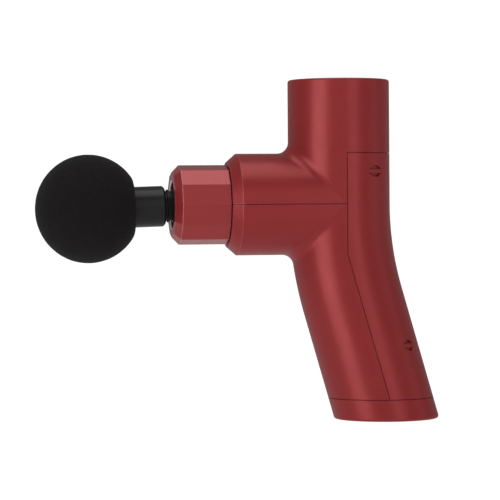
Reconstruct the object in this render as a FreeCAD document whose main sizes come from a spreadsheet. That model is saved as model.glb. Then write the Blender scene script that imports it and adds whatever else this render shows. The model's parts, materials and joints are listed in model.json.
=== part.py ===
"""Percussion massage gun: a bent grip tube with a barrel, a slotted-yoke drive and a foam ball head.

Millimetres. The origin is the centre of the flat base, +Z is up and the barrel points to -X.
"""
import FreeCAD, Part
import math
import os
import re

import Sketcher

Vector = FreeCAD.Vector

# Driving dimensions. Each name is an alias in the sheet, and every shape below is bound to them.
SIZES = {
    # grip tube and barrel, the outside that everything else follows
    "body_top": 168.5,
    "tube_radius": 25.22,
    "handle_tilt": 16,
    "knee_height": 82.3,
    "bend_radius": 175,
    "barrel_height": 107,
    "barrel_radius": 25.12,
    "barrel_straight": 51.9,
    "barrel_reach": 56.4,
    "barrel_tip_radius": 21.2,
    "barrel_mouth_radius": 15,
    "crotch_radius": 6,
    "rim_radius": 1.3,
    "wall": 2.2,
    "ample": 60,
    # seams between the four shells
    "seam_gap": 0.3,
    "seam_forward": 0.6,
    "lap": 1.5,
    "lap_gap": 0.1,
    "cap_height": 10.7,
    "shoulder_height": 132,
    # screws that close the shells
    "shell_screw_high": 123,
    "shell_screw_high_y": 20.3,
    "shell_screw_low": 37.1,
    "shell_screw_low_y": 17.9,
    "shell_post_radius": 3.5,
    "shell_post_depth": 14,
    "shell_pilot_depth": 10,
    "shell_head_radius": 2.3,
    "shell_head_length": 2,
    "shell_shank_radius": 1.3,
    "shell_shank_length": 14,
    "plug_radius": 2.65,
    "plug_recess": 7,
    "plug_bar_height": 1.9,
    "screw_play": 0.12,
    "base_screw_x": 10,
    "base_screw_y": 18.2,
    "base_post_radius": 4.2,
    "base_post_top": 24,
    "base_head_recess": 4,
    # faceted nose collar
    "nose_length": 27.4,
    "nose_gap": 0.1,
    "nose_radius": 19.6,
    "nose_sides": 12,
    "nose_edge_radius": 0.9,
    "nose_bevel": 3.4,
    "nose_rear_bevel": 0.5,
    "nose_bore_radius": 11.65,
    "nose_bore_bevel": 0.6,
    "nose_spigot_radius": 14.9,
    "nose_spigot_length": 4.5,
    # head: foam ball on a stem with a ribbed rubber plug
    "ball_forward": 125,
    "ball_radius": 26.7,
    "ball_length_ratio": 0.978,
    "ball_flat": 22.2,
    "ball_socket_radius": 8,
    "ball_socket_depth": 20,
    "head_pivot": 71,
    "head_droop": 1.7,
    "stem_radius": 10,
    "stem_end": 87.5,
    "stem_bevel": 1,
    "stem_core_radius": 5.2,
    "plug_crest_radius": 8.1,
    "plug_root_radius": 7.3,
    "plug_pitch": 2.4,
    "plug_ribs": 7,
    # piston and slotted yoke
    "piston_radius": 10,
    "piston_mouth": 80.3,
    "piston_socket_radius": 8.42,
    "piston_socket_depth": 20,
    "piston_rear": 18,
    "yoke_neck_half_width": 8,
    "piston_bore_radius": 5.5,
    "piston_web": 8,
    "yoke_half_length": 10,
    "yoke_half_width": 13.5,
    "yoke_height": 8,
    "slot_width": 12.3,
    "slot_length": 21,
    "running_gap": 0.05,
    # eccentric drive
    "crank_throw": 5,
    "crank_radius": 12,
    "crank_bottom": 111.5,
    "crank_thickness": 4.2,
    "crank_hole_radius": 2.2,
    "crank_hole_x": 6.6,
    "crank_hole_y": 5.6,
    "hub_radius": 5,
    "hub_top": 118.4,
    "pin_radius": 2.5,
    "pin_bottom": 102.4,
    "pin_bearing_radius": 5,
    "grub_radius": 1.2,
    # motor
    "shaft_radius": 2,
    "shaft_bottom": 111.8,
    "shaft_top": 155.4,
    "motor_base_bottom": 122,
    "motor_base_thickness": 4.4,
    "motor_base_radius": 12.6,
    "motor_post_radius": 5.2,
    "motor_post_top": 148,
    "motor_bearing_radius": 4,
    "motor_bearing_length": 3,
    "stator_bottom": 131.4,
    "stator_length": 13.6,
    "stator_core_radius": 8.05,
    "stator_neck_radius": 11.7,
    "stator_radius": 13.5,
    "tooth_half": 1,
    "tooth_count": 12,
    "slot_mouth_half": 0.7,
    "coil_overhang": 1.5,
    "magnet_inner": 14.2,
    "magnet_outer": 16.7,
    "magnet_count": 14,
    "magnet_angle": 21,
    "can_radius": 18,
    "can_bottom": 129,
    "can_top": 151.4,
    "can_skin": 1.25,
    "can_window_radius": 2.6,
    "can_window_count": 6,
    # drive frame in the barrel and the tube
    "deck_bottom": 117,
    "deck_radius": 20.9,
    "deck_hole_radius": 6,
    "motor_screw_circle": 9.4,
    "bridge_length": 18,
    "bridge_width": 22,
    "web_width": 32,
    "web_height": 26,
    "arm_bottom": 96,
    "notch_start": 15.5,
    "notch_width": 13,
    "bush_radius": 12,
    "bush_front": 51.6,
    "bush_rear": 29,
    "bush_carrier_radius": 14.4,
    "carrier_web": 3,
    "arm_inner": 14.2,
    "arm_thickness": 2.6,
    "damper_radius": 22.5,
    "damper_front": 49.2,
    "damper_length": 7,
    # controls on top
    "panel_radius": 22.5,
    "panel_thickness": 2.4,
    "panel_sink": 0.5,
    "panel_ledge_radius": 20.4,
    "button_radius": 6,
    "button_proud": 0.5,
    "button_travel": 1,
    "board_radius": 19.2,
    "board_bottom": 157.2,
    "board_thickness": 1.6,
    "light_radius": 1,
    "light_circle": 13.6,
    "post_circle": 16.6,
    "post_radius": 2.4,
    "board_screw_radius": 0.9,
    "board_head_radius": 1.7,
    "board_head_length": 1.3,
    "push_side": 6,
    "push_height": 2.6,
    "push_stud_radius": 1.75,
    # battery and electronics in the handle
    "cell_radius": 9.2,
    "cell_length": 65,
    "cell_start": 18,
    "cell_centre": 9.35,
    "holder_radius": 10.3,
    "holder_length": 5,
    "holder_grip": 3,
    "pcb_start": 47,
    "pcb_length": 30,
    "pcb_half_width": 9,
    "pcb_y": 12,
    "transistor_side": 5,
    "transistor_height": 4.6,
    "plug_length": 5.4,
    "plug_height": 2.6,
    "pad_length": 16,
    "pad_thickness": 2.6,
    "pad_height": 12,
    # charging socket and main switch in the base
    "jack_x": 9,
    "jack_radius": 4.2,
    "jack_bore_radius": 2.75,
    "jack_length": 11,
    "jack_pin_radius": 1,
    "switch_x": 8,
    "switch_length": 12,
    "switch_width": 5.6,
    "switch_body": 4.6,
    "knob_length": 5,
    "knob_width": 2.6,
    "knob_travel": 4,
    "wire_radius": 0.7,
}

FORWARD = (Vector(0, -1, 0), "90")
BACKWARD = (Vector(0, 1, 0), "90")
DOWNWARD = (Vector(1, 0, 0), "180")
SIDEWAYS = (Vector(-1, 0, 0), "90")
ALONG_HANDLE = (Vector(0, -1, 0), "handle_tilt")
HEAD_FORWARD = (Vector(0, -1, 0), "90 + head_droop")
HEAD_BACKWARD = (Vector(0, 1, 0), "90 - head_droop")

TUBE_X = "(-knee_height * tan(handle_tilt))"
BEND_REACH = "(bend_radius * tan(handle_tilt / 2))"
PIN_Y = "(-crank_throw)"
SCREW_WAY = "(shell_shank_radius + screw_play)"
YOKE_BOTTOM = "(barrel_height - yoke_height / 2)"
MOTOR_BASE_TOP = "(motor_base_bottom + motor_base_thickness)"
BOARD_TOP = "(board_bottom + board_thickness)"
PANEL_TOP = "(body_top - panel_sink)"
PANEL_BOTTOM = "(body_top - panel_sink - panel_thickness)"

doc = FreeCAD.newDocument("MassageGun")
sheet = doc.addObject("Spreadsheet::Sheet", "Sizes")
for row, (alias, number) in enumerate(SIZES.items(), 1):
    sheet.set(f"A{row}", alias)
    sheet.set(f"B{row}", str(number))
    sheet.setAlias(f"B{row}", alias)
doc.recompute()

pieces = []


# ---------------------------------------------------------------- expressions and placement


def link(formula):
    """The formula with each size's name written as a reference to the sheet."""
    return re.sub(r"[a-z_]+", lambda word: f"Sizes.{word[0]}" if word[0] in SIZES else word[0], formula)


def value(formula):
    """The formula's present value."""
    return float(sheet.evalExpression(link(formula)))


def bind(thing, **formulas):
    """Bind properties of a document object to formulas."""
    for name, formula in formulas.items():
        thing.setExpression(name, link(formula))
    return thing


def place(thing, x="0", y="0", z="0", turn=None):
    """Put a document object at a point given by formulas, turned about its own origin."""
    if turn:
        axis, angle = turn
        thing.Placement = FreeCAD.Placement(Vector(), FreeCAD.Rotation(axis, value(angle)))
        thing.setExpression("Placement.Rotation.Angle", link(angle))
    for letter, formula in zip("xyz", (x, y, z)):
        if formula != "0":
            thing.setExpression(f"Placement.Base.{letter}", link(formula))
    return thing


def ahead(distance):
    """X of a point on the barrel, by its distance in front of the tube's axis."""
    return f"({TUBE_X} - ({distance}))"


def on_head(distance):
    """X, Y and Z of a point on the head's own axis, which droops a little in the piston's socket."""
    arm = f"(({distance}) - head_pivot)"
    return ahead(f"head_pivot + {arm} * cos(head_droop)"), "0", f"(barrel_height - {arm} * sin(head_droop))"


def in_handle(across, along):
    """X and Z of a point in the handle: across its axis to the rear, and up along it."""
    x = f"(({across}) * cos(handle_tilt) - ({along}) * sin(handle_tilt))"
    z = f"(({across}) * sin(handle_tilt) + ({along}) * cos(handle_tilt))"
    return x, z


def round_about(circle, angle):
    """X and Y of a point on a circle about the tube's axis."""
    return f"({TUBE_X} + ({circle}) * cos({angle}))", f"(({circle}) * sin({angle}))"


def piece(name, thing):
    """Name a finished sub-part."""
    thing.Label = name
    pieces.append(thing)
    return thing


# ---------------------------------------------------------------- primitives and booleans


def rod(name, radius, length, x="0", y="0", z="0", turn=None):
    """A cylinder that grows from its point along its turned Z."""
    return place(bind(doc.addObject("Part::Cylinder", name), Radius=radius, Height=length), x, y, z, turn)


def brick(name, length, width, height, x="0", y="0", z="0", turn=None):
    """A box with its lowest corner at the point."""
    box = bind(doc.addObject("Part::Box", name), Length=length, Width=width, Height=height)
    return place(box, x, y, z, turn)


def joined(name, *shapes):
    fuse = doc.addObject("Part::MultiFuse", name)
    fuse.Shapes = list(shapes)
    fuse.Refine = True
    return fuse


def shared(name, first, second):
    common = doc.addObject("Part::Common", name)
    common.Base = first
    common.Tool = second
    return common


def less(name, base, *tools):
    """The base with every tool cut out of it."""
    cut = doc.addObject("Part::Cut", name)
    cut.Base = base
    cut.Tool = tools[0] if len(tools) == 1 else joined(f"{name}_tools", *tools)
    return cut


def group(name, *shapes):
    """Identical or paired pieces kept as separate solids."""
    compound = doc.addObject("Part::Compound", name)
    compound.Links = list(shapes)
    return compound


# ---------------------------------------------------------------- bodies and sketches


def new_body(name):
    return doc.addObject("PartDesign::Body", name)


def new_sketch(body, name, role, right="0", up="0", lift="0"):
    """A sketch on an origin plane of its body, its own origin moved by formulas in that plane."""
    sketch = body.newObject("Sketcher::SketchObject", name)
    plane = next(f for f in body.Origin.OriginFeatures if f.Role == role)
    sketch.AttachmentSupport = [(plane, "")]
    sketch.MapMode = "FlatFace"
    for letter, formula in zip("xyz", (right, up, lift)):
        if formula != "0":
            sketch.setExpression(f"AttachmentOffset.Base.{letter}", link(formula))
    return sketch


def pin_point(sketch, edge, end, right, up):
    """Tie one end of an edge to its place from the sketch's origin."""
    for kind, axis, formula in (("DistanceX", -2, right), ("DistanceY", -1, up)):
        number = value(formula)
        if abs(number) < 1e-9:
            sketch.addConstraint(Sketcher.Constraint("PointOnObject", edge, end, axis))
            continue
        ends = (-1, 1, edge, end) if number > 0 else (edge, end, -1, 1)
        index = sketch.addConstraint(Sketcher.Constraint(kind, *ends, abs(number)))
        sketch.setExpression(f"Constraints[{index}]", link(formula if number > 0 else f"-({formula})"))


def draw_outline(sketch, corners):
    """A closed outline of straight edges through corners given as formulas."""
    first = sketch.GeometryCount
    points = [Vector(value(right), value(up), 0) for right, up in corners]
    count = len(corners)
    for here in range(count):
        sketch.addGeometry(Part.LineSegment(points[here], points[(here + 1) % count]))
    for here in range(count):
        after = first + (here + 1) % count
        sketch.addConstraint(Sketcher.Constraint("Coincident", first + here, 2, after, 1))
    for here, (right, up) in enumerate(corners):
        pin_point(sketch, first + here, 1, right, up)


def draw_circle(sketch, radius, right="0", up="0"):
    centre = Vector(value(right), value(up), 0)
    edge = sketch.addGeometry(Part.Circle(centre, Vector(0, 0, 1), value(radius)))
    index = sketch.addConstraint(Sketcher.Constraint("Radius", edge, value(radius)))
    sketch.setExpression(f"Constraints[{index}]", link(radius))
    pin_point(sketch, edge, 3, right, up)


def turned(name, outline, x="0", y="0", z="0", turn=None):
    """A body of revolution: its outline is given as radius and height, and turns about its own Z."""
    body = new_body(name)
    sketch = new_sketch(body, f"{name}_outline", "XZ_Plane")
    draw_outline(sketch, outline)
    spin = body.newObject("PartDesign::Revolution", f"{name}_turn")
    spin.Profile = sketch
    spin.ReferenceAxis = (sketch, ["V_Axis"])
    spin.Angle = 360
    return place(body, x, y, z, turn)


def ring(name, outer, inner, length, x="0", y="0", z="0", turn=None):
    outline = [(inner, "0"), (outer, "0"), (outer, length), (inner, length)]
    return turned(name, outline, x, y, z, turn)


def padded(body, sketch, length, name="pad", midplane=False):
    """Pad a sketch of a body upwards, or to both sides."""
    pad = body.newObject("PartDesign::Pad", f"{body.Name}_{name}")
    pad.Profile = sketch
    pad.Midplane = midplane
    return bind(pad, Length=length)


def plate(name, corners, thickness, x="0", y="0", z="0", turn=None, role="XY_Plane", midplane=False):
    """A body padded from a straight-edged outline."""
    body = new_body(name)
    sketch = new_sketch(body, f"{name}_outline", role)
    draw_outline(sketch, corners)
    padded(body, sketch, thickness, midplane=midplane)
    return place(body, x, y, z, turn)


def edges_where(shape, test):
    return [f"Edge{number}" for number, edge in enumerate(shape.Edges, 1) if test(edge)]


def dress(body, kind, name, base, edges, **sizes):
    """A fillet or chamfer on named edges of the feature before it."""
    feature = body.newObject(f"PartDesign::{kind}", name)
    feature.Base = (base, edges)
    return bind(feature, **sizes)


def screw(name, head_radius, head_length, shank_radius, shank_length, x, y, z, turn=None):
    """A pan-head screw with a cross recess: its head grows one way from the point, its shank the other."""
    outline = [
        ("0", f"-({shank_length})"),
        (f"{shank_radius} * 0.6", f"-({shank_length})"),
        (shank_radius, f"-({shank_length}) + {shank_radius} * 0.5"),
        (shank_radius, "0"),
        (head_radius, "0"),
        (head_radius, f"({head_length}) * 0.7"),
        (f"{head_radius} * 0.8", head_length),
        ("0", head_length),
    ]
    blank = turned(f"{name}_blank", outline)
    bars = []
    for index, (long, wide) in enumerate((("1.1", "0.28"), ("0.28", "1.1"))):
        half_long, half_wide = f"{head_radius} * {long} / 2", f"{head_radius} * {wide} / 2"
        bars.append(
            brick(f"{name}_bar{index}", f"2 * {half_long}", f"2 * {half_wide}", head_length,
                  f"-{half_long}", f"-{half_wide}", f"({head_length}) * 0.45")
        )
    return place(less(name, blank, *bars), x, y, z, turn)


# ---------------------------------------------------------------- shells


def draw_spine(sketch, top):
    """The grip's centre line: straight down, one wide bend, and straight down the tilted handle."""
    run_out = "20"
    ends = [
        (TUBE_X, top),
        (TUBE_X, f"knee_height + {BEND_REACH}"),
        (f"{TUBE_X} + {BEND_REACH} * sin(handle_tilt)", f"knee_height - {BEND_REACH} * cos(handle_tilt)"),
        (f"{run_out} * tan(handle_tilt)", f"-{run_out}"),
    ]
    start, bend, straight, foot = [Vector(value(right), value(up), 0) for right, up in ends]
    centre = bend + Vector(value("bend_radius"), 0, 0)
    half = math.radians(180 + value("handle_tilt") / 2)
    middle = centre + Vector(math.cos(half), math.sin(half), 0) * value("bend_radius")
    sketch.addGeometry(Part.LineSegment(start, bend))
    sketch.addGeometry(Part.Arc(bend, middle, straight))
    sketch.addGeometry(Part.LineSegment(straight, foot))
    first_end = 1 if (sketch.Geometry[1].StartPoint - bend).Length < 1e-6 else 2
    sketch.addConstraint(Sketcher.Constraint("Coincident", 0, 2, 1, first_end))
    sketch.addConstraint(Sketcher.Constraint("Coincident", 1, 3 - first_end, 2, 1))
    for edge, end, (right, up) in ((0, 1, ends[0]), (0, 2, ends[1]), (2, 1, ends[2]), (2, 2, ends[3])):
        pin_point(sketch, edge, end, right, up)
    index = sketch.addConstraint(Sketcher.Constraint("Radius", 1, value("bend_radius")))
    sketch.setExpression(f"Constraints[{index}]", link("bend_radius"))


def form(name, inset, top, floor, reach):
    """The outside shape drawn in by an inset: the grip tube with the barrel that leaves it."""
    body = new_body(name)
    spine = new_sketch(body, f"{name}_spine", "XZ_Plane")
    draw_spine(spine, top)
    section = new_sketch(body, f"{name}_section", "XY_Plane", right=TUBE_X, lift=top)
    draw_circle(section, f"tube_radius - {inset}")
    tube = body.newObject("PartDesign::AdditivePipe", f"{name}_tube")
    tube.Profile = section
    tube.Spine = (spine, ["Edge1", "Edge2", "Edge3"])
    doc.recompute()
    barrel_outline = new_sketch(body, f"{name}_barrel_outline", "XZ_Plane", right=TUBE_X, up="barrel_height")
    tip = f"(barrel_tip_radius - {inset})"
    straight = f"(barrel_radius - {inset})"
    corners = [
        ("0", "0"),
        ("0", straight),
        (f"-(barrel_straight + {reach} - barrel_reach)", straight),
        (f"-({reach})", tip),
        (f"-({reach})", "0"),
    ]
    draw_outline(barrel_outline, corners)
    barrel = body.newObject("PartDesign::Revolution", f"{name}_barrel")
    barrel.Profile = barrel_outline
    barrel.ReferenceAxis = (barrel_outline, ["H_Axis"])
    barrel.Angle = 360
    below = new_sketch(body, f"{name}_below", "XY_Plane", lift=floor)
    draw_outline(below, [("-ample", "-ample"), ("ample", "-ample"), ("ample", "ample"), ("-ample", "ample")])
    level = body.newObject("PartDesign::Pocket", f"{name}_level")
    level.Profile = below
    level.Type = 1
    doc.recompute()
    return body


def soften(body):
    """Round the crotch between barrel and tube, the top rim and the edge of the base."""
    shape = body.Shape
    tube_x = value(TUBE_X)

    def in_crotch(edge):
        box = edge.BoundBox
        curved = not isinstance(edge.Curve, (Part.Circle, Part.Line))
        return curved and box.XMax < tube_x + 5 and box.YLength > 5 and 70 < box.ZMin and box.ZMax < 136

    crotch = dress(body, "Fillet", f"{body.Name}_crotch", body.Tip, edges_where(shape, in_crotch),
                   Radius="crotch_radius")
    doc.recompute()

    def on_rim(edge):
        box = edge.BoundBox
        return box.ZLength < 0.01 and (box.ZMax < 0.01 or abs(box.ZMax - value("body_top")) < 0.01)

    dress(body, "Fillet", f"{body.Name}_rims", crotch, edges_where(crotch.Shape, on_rim), Radius="rim_radius")
    doc.recompute()
    return body


def zone(name, which, lap, gap):
    """The space that one shell takes, as a block seen from the side. A lap moves every seam."""
    seam_x = f"({TUBE_X} - seam_forward + {lap})"
    cap_z = f"(cap_height + {lap})"
    shoulder, split = f"(shoulder_height - {lap})", f"(barrel_height - {lap})"
    low_seam = f"(-({cap_z}) * tan(handle_tilt) - seam_forward + {lap})"
    left, right, bottom, top = "-2 * ample", "2 * ample", "-ample", "(body_top + ample)"
    outlines = {
        "upper": [
            (left, f"{split} + {gap}"),
            (f"{seam_x} - {gap}", f"{split} + {gap}"),
            (f"{seam_x} - {gap}", f"{shoulder} + {gap}"),
            (right, f"{shoulder} + {gap}"),
            (right, top),
            (left, top),
        ],
        "front": [
            (left, f"{split} - {gap}"),
            (f"{seam_x} - {gap}", f"{split} - {gap}"),
            (f"{seam_x} - {gap}", "knee_height"),
            (f"{low_seam} - {gap}", f"{cap_z} + {gap}"),
            (left, f"{cap_z} + {gap}"),
        ],
        "rear": [
            (f"{seam_x} + {gap}", f"{shoulder} - {gap}"),
            (right, f"{shoulder} - {gap}"),
            (right, f"{cap_z} + {gap}"),
            (f"{low_seam} + {gap}", f"{cap_z} + {gap}"),
            (f"{seam_x} + {gap}", "knee_height"),
        ],
        "base": [
            (left, f"{cap_z} - {gap}"),
            (left, bottom),
            (right, bottom),
            (right, f"{cap_z} - {gap}"),
        ],
    }
    return plate(name, outlines[which], "2 * ample", role="XZ_Plane", midplane=True)


def shell(which, outer_skin, inner_skin):
    """One shell: its share of the outer skin and, moved by the lap, its share of the inner skin."""
    outside = shared(f"{which}_outside", outer_skin, zone(f"{which}_outer_zone", which, "0", "seam_gap / 2"))
    inside = shared(f"{which}_inside", inner_skin, zone(f"{which}_inner_zone", which, "lap", "lap_gap / 2"))
    return joined(f"{which}_shell", outside, inside)


def shell_screw_places():
    """Name, X of the seam plane, Y and height of each screw through the rear cover."""
    for level in ("high", "low"):
        height = f"shell_screw_{level}"
        centre = TUBE_X if level == "high" else f"(-({height}) * tan(handle_tilt))"
        for side, sign in (("near", "-"), ("far", "")):
            yield f"{level}_{side}", f"({centre} - seam_forward)", f"({sign}{height}_y)", height


def front_posts(level, core):
    """Screw posts ahead of the seam, kept within the wall's core."""
    posts = [
        rod(f"post_{name}", "shell_post_radius", "shell_post_depth + lap", f"{seam} + lap", y, height,
            FORWARD)
        for name, seam, y, height in shell_screw_places()
        if name.startswith(level)
    ]
    return shared(f"front_posts_{level}", joined(f"front_posts_{level}_raw", *posts), core)


def pilot_holes(level):
    return [
        rod(f"pilot_{name}", SCREW_WAY, "shell_pilot_depth", f"{seam} + lap", y, height, FORWARD)
        for name, seam, y, height in shell_screw_places()
        if name.startswith(level)
    ]


def mouth(which):
    """The round opening in the barrel's front wall."""
    return rod(f"{which}_mouth", "barrel_mouth_radius", "ample", ahead("barrel_reach - wall - 1"), "0",
               "barrel_height", FORWARD)


def upper_housing(skins, core):
    """Tube top and upper half of the barrel, with the ledge that carries the control panel."""
    ledge = ring("panel_ledge", "tube_radius - wall / 2", "panel_ledge_radius", "1.5",
                 TUBE_X, "0", f"{PANEL_BOTTOM} - 1.5")
    whole = joined("upper_housing_whole", shell("upper", *skins), ledge, front_posts("high", core))
    return piece("upper_housing", less("upper_housing", whole, mouth("upper"), *pilot_holes("high")))


def front_housing(skins, core):
    """Lower half of the barrel and front half of the handle, with posts for the cover and the base."""
    base_posts, base_pilots = [], []
    for side, y in (("near", "-base_screw_y"), ("far", "base_screw_y")):
        start = "cap_height + lap + 0.2"
        base_posts.append(rod(f"base_post_{side}", "base_post_radius", f"base_post_top - ({start})",
                              "-base_screw_x", y, start))
        base_pilots.append(rod(f"base_pilot_{side}", SCREW_WAY, "base_post_top",
                               "-base_screw_x", y, "0"))
    posts = shared("base_posts", joined("base_posts_raw", *base_posts), core)
    whole = joined("front_housing_whole", shell("front", *skins), front_posts("low", core), posts)
    cuts = [mouth("front"), *pilot_holes("low"), *base_pilots]
    return piece("front_housing", less("front_housing", whole, *cuts))


def rear_cover(skins, core):
    """Rear half of the tube and handle, with four sunk screw wells."""
    posts, wells = [], []
    for name, seam, y, height in shell_screw_places():
        start = f"{seam} + lap + lap_gap"
        posts.append(rod(f"rear_post_{name}", "shell_post_radius + 0.4", "ample", start, y, height, BACKWARD))
        wells.append(rod(f"well_{name}", "plug_radius + screw_play", "ample", f"{seam} + plug_recess", y,
                         height, BACKWARD))
        wells.append(rod(f"clearance_{name}", SCREW_WAY, "ample", start, y, height,
                         BACKWARD))
    kept = shared("rear_posts", joined("rear_posts_raw", *posts), core)
    whole = joined("rear_cover_whole", shell("rear", *skins), kept)
    return piece("rear_cover", less("rear_cover", whole, *wells))


def base_cap(skins, core):
    """Bottom cap with the switch recess, the charging hole and two sunk screw holes."""
    cuts = [
        rod("jack_hole", "jack_radius + screw_play", "cap_height", "jack_x"),
        brick("switch_recess", "switch_width", "switch_length", "1.2", "-switch_x - switch_width / 2",
              "-switch_length / 2", "0"),
        brick("switch_slot", "knob_width + 0.6", "knob_length + knob_travel + 0.6", "cap_height",
              "-switch_x - knob_width / 2 - 0.3", "-(knob_length + knob_travel + 0.6) / 2", "0"),
    ]
    posts = []
    for side, y in (("near", "-base_screw_y"), ("far", "base_screw_y")):
        posts.append(rod(f"cap_post_{side}", "base_post_radius", "cap_height + lap - 0.3", "-base_screw_x", y,
                         "0.1"))
        cuts.append(rod(f"cap_well_{side}", "shell_head_radius + 0.3", "base_head_recess", "-base_screw_x",
                        y))
        cuts.append(rod(f"cap_clearance_{side}", SCREW_WAY, "ample", "-base_screw_x", y))
    kept = shared("cap_posts", joined("cap_posts_raw", *posts), core)
    whole = joined("base_cap_whole", shell("base", *skins), kept)
    return piece("base_cap", less("base_cap", whole, *cuts))


def shells():
    """The four shells, cut from one outside shape, and the screws and plugs that close them."""
    outer = soften(form("outer_form", "0", "body_top", "0", "barrel_reach"))
    core = form("core_form", "wall / 2", "(body_top + 5)", "(wall / 2)", "(barrel_reach - wall / 2)")
    inner = form("inner_form", "wall", "(body_top + 5)", "wall", "(barrel_reach - wall)")
    skins = less("outer_skin", outer, core), less("inner_skin", shared("core_trimmed", core, outer), inner)
    upper_housing(skins, core)
    front_housing(skins, core)
    rear_cover(skins, core)
    base_cap(skins, core)
    cover_screws_and_plugs(outer, core)


def cover_screws_and_plugs(outer, core):
    screws, plugs = [], []
    for name, seam, y, height in shell_screw_places():
        floor = f"{seam} + plug_recess"
        screws.append(screw(f"shell_screw_{name}", "shell_head_radius", "shell_head_length",
                            "shell_shank_radius", "shell_shank_length", floor, y, height, BACKWARD))
        start = f"{floor} + shell_head_length + 0.3"
        blank = rod(f"plug_blank_{name}", "plug_radius", "ample", start, y, height, BACKWARD)
        disc = shared(f"plug_disc_{name}", blank, core)
        bar = brick(f"plug_bar_{name}", "ample", "2 * plug_radius", "plug_bar_height", start,
                    f"{y} - plug_radius", f"{height} - plug_bar_height / 2")
        raised = shared(f"plug_raised_{name}", shared(f"plug_bar_round_{name}", bar, blank), outer)
        plugs.append(joined(f"plug_{name}", disc, raised))
    piece("cover_screws", group("cover_screws", *screws))
    piece("screw_plugs", group("screw_plugs", *plugs))
    base = [
        screw(f"base_screw_{side}", "shell_head_radius", "shell_head_length", "shell_shank_radius",
              "shell_shank_length", "-base_screw_x", y, "base_head_recess", DOWNWARD)
        for side, y in (("near", "-base_screw_y"), ("far", "base_screw_y"))
    ]
    piece("base_screws", group("base_screws", *base))


# ---------------------------------------------------------------- nose and head


def nose_collar():
    """Twelve-sided collar on the barrel's tip, with a polished bevel round its bore."""
    body = new_body("nose_prism")
    sketch = new_sketch(body, "nose_outline", "XY_Plane")
    angles = [f"360 * {side} / nose_sides" for side in range(int(value("nose_sides")))]
    draw_outline(sketch, [(f"nose_radius * cos({angle})", f"nose_radius * sin({angle})") for angle in angles])
    shaped = padded(body, sketch, "nose_length")
    doc.recompute()
    for name, height, size in (("front", "nose_length", "nose_bevel"), ("rear", "0", "nose_rear_bevel")):
        level = value(height)
        around = edges_where(shaped.Shape, lambda edge: edge.BoundBox.ZLength < 0.01
                             and abs(edge.BoundBox.ZMax - level) < 0.01)
        shaped = dress(body, "Chamfer", f"nose_{name}_bevel", shaped, around, Size=size)
        doc.recompute()
    slanted = edges_where(shaped.Shape, lambda edge: edge.BoundBox.ZLength > 0.1)
    dress(body, "Fillet", "nose_edges", shaped, slanted, Radius="nose_edge_radius")
    doc.recompute()
    place(body, ahead("barrel_reach + nose_gap"), "0", "barrel_height", FORWARD)
    spigot_start = "-nose_gap - nose_spigot_length"
    neck = ring("nose_spigot", "nose_spigot_radius", "nose_bore_radius", "nose_gap + nose_spigot_length + 1",
                ahead("barrel_reach - nose_spigot_length"), "0", "barrel_height", FORWARD)
    bore_outline = [
        ("0", spigot_start),
        ("nose_bore_radius", spigot_start),
        ("nose_bore_radius", "nose_length - nose_bore_bevel"),
        ("nose_bore_radius + 2 * nose_bore_bevel", "nose_length + nose_bore_bevel"),
        ("0", "nose_length + nose_bore_bevel"),
    ]
    bore = turned("nose_bore", bore_outline, ahead("barrel_reach + nose_gap"), "0", "barrel_height", FORWARD)
    piece("nose_collar", less("nose_collar_bored", joined("nose_collar_solid", body, neck), bore))
    piece("nose_seal", ring("nose_seal", "nose_bore_radius - 0.05", "piston_radius + 0.15", "5",
                            ahead("barrel_reach + 2"), "0", "barrel_height", FORWARD))


def massage_head():
    """Foam ball with a flat and a blind socket, the moulded stem, and a ribbed plug that grips the piston."""
    ball = doc.addObject("Part::Ellipsoid", "ball_solid")
    bind(ball, Radius1="ball_radius * ball_length_ratio", Radius2="ball_radius", Radius3="ball_radius")
    place(ball, *on_head("ball_forward"), HEAD_FORWARD)
    shoulder = "(ball_forward - ball_socket_depth)"
    socket = rod("ball_socket", "ball_socket_radius", "ample", *on_head("ball_forward"), HEAD_BACKWARD)
    collar = rod("ball_counterbore", "stem_radius", "ample", *on_head(shoulder), HEAD_BACKWARD)
    flat = rod("ball_flat_cut", "ball_radius", "ample", *on_head("ball_forward - ball_flat"), HEAD_BACKWARD)
    piece("massage_ball", less("massage_ball", ball, socket, collar, flat))

    core_end = "(stem_end - plug_pitch * plug_ribs + 0.4)"
    outline = [
        ("0", core_end),
        ("stem_core_radius", core_end),
        ("stem_core_radius", "stem_end"),
        ("stem_radius - stem_bevel", "stem_end"),
        ("stem_radius", "stem_end + stem_bevel"),
        ("stem_radius", shoulder),
        ("ball_socket_radius", shoulder),
        ("ball_socket_radius", "ball_forward"),
        ("0", "ball_forward"),
    ]
    piece("head_stem", turned("head_stem", outline, *on_head("0"), HEAD_FORWARD))

    ribs = int(value("plug_ribs"))
    outline = [("stem_core_radius", f"stem_end - plug_pitch * {ribs}"), ("stem_core_radius", "stem_end")]
    for rib in range(ribs):
        crest = f"stem_end - plug_pitch * {rib}"
        outline += [
            ("plug_root_radius", crest),
            ("plug_root_radius", f"{crest} - plug_pitch * 0.35"),
            ("plug_crest_radius", f"{crest} - plug_pitch * 0.5"),
            ("plug_crest_radius", f"{crest} - plug_pitch * 0.85"),
        ]
    outline.append(("plug_root_radius", f"stem_end - plug_pitch * {ribs}"))
    piece("ribbed_plug", turned("ribbed_plug", outline, *on_head("0"), HEAD_FORWARD))


# ---------------------------------------------------------------- drive


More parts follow.
